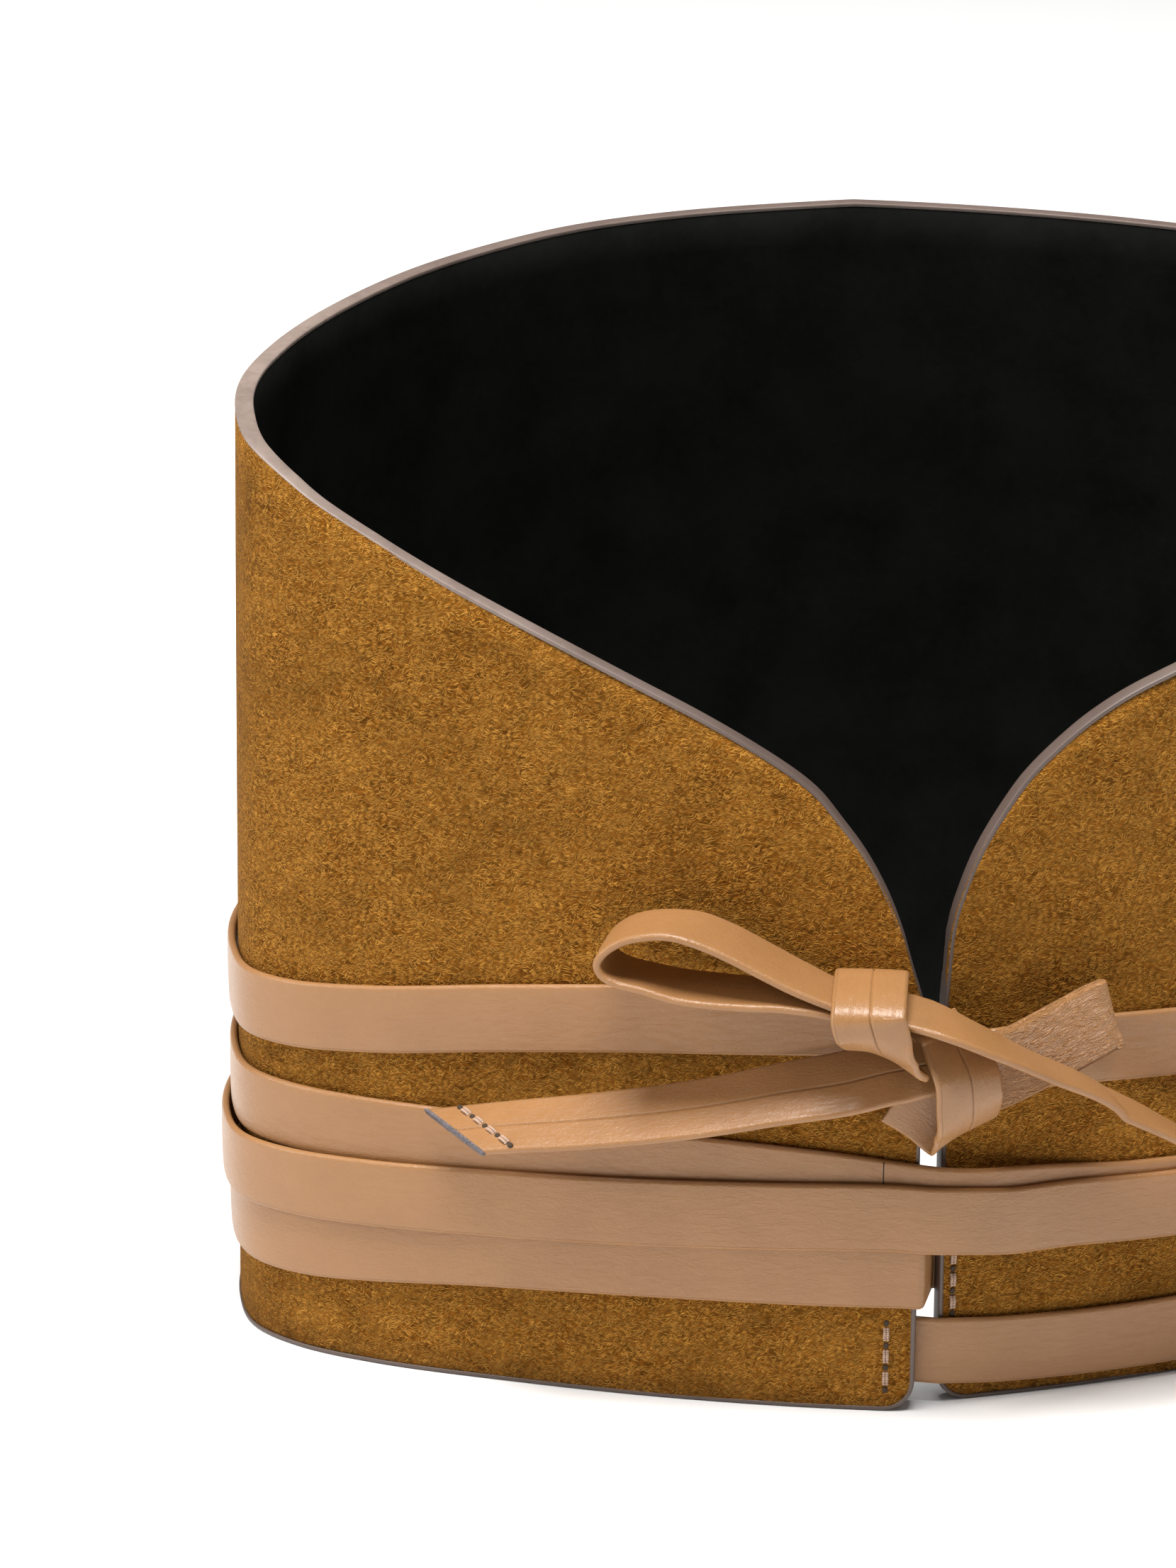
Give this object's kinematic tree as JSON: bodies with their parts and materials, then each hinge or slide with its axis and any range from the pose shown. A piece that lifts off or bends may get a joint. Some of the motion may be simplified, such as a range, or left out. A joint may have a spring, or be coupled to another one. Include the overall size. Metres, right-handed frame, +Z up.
{
  "type": "corset belt",
  "caption": "Wide waist belt of suede with a black lining, open at the front, high at the back, held by two flat leather straps wound round it and tied in a bow",
  "frame": {"origin": "middle of the whole belt's footprint, on the surface it stands on", "axes": "+X to the right as seen from the front, +Y to the back, +Z up"},
  "size_m": [0.2636, 0.1956, 0.1895],
  "materials": {
    "suede": "golden brown suede with a short nap",
    "lining": "matt black lining",
    "strap": "smooth tan leather with a fine grain and a soft sheen",
    "edge_paint": "satin taupe edge paint",
    "thread": "matt waxed thread"
  },
  "bodies": {
    "root": {"suede_band": "suede", "lining": "lining", "strap_a": "strap", "strap_b": "strap", "bow_loop_left": "strap", "bow_loop_right": "strap", "bow_tail_left": "strap", "bow_tail_right": "strap", "knot_wrap": "strap", "knot_tuck": "strap"}
  },
  "joints": []
}
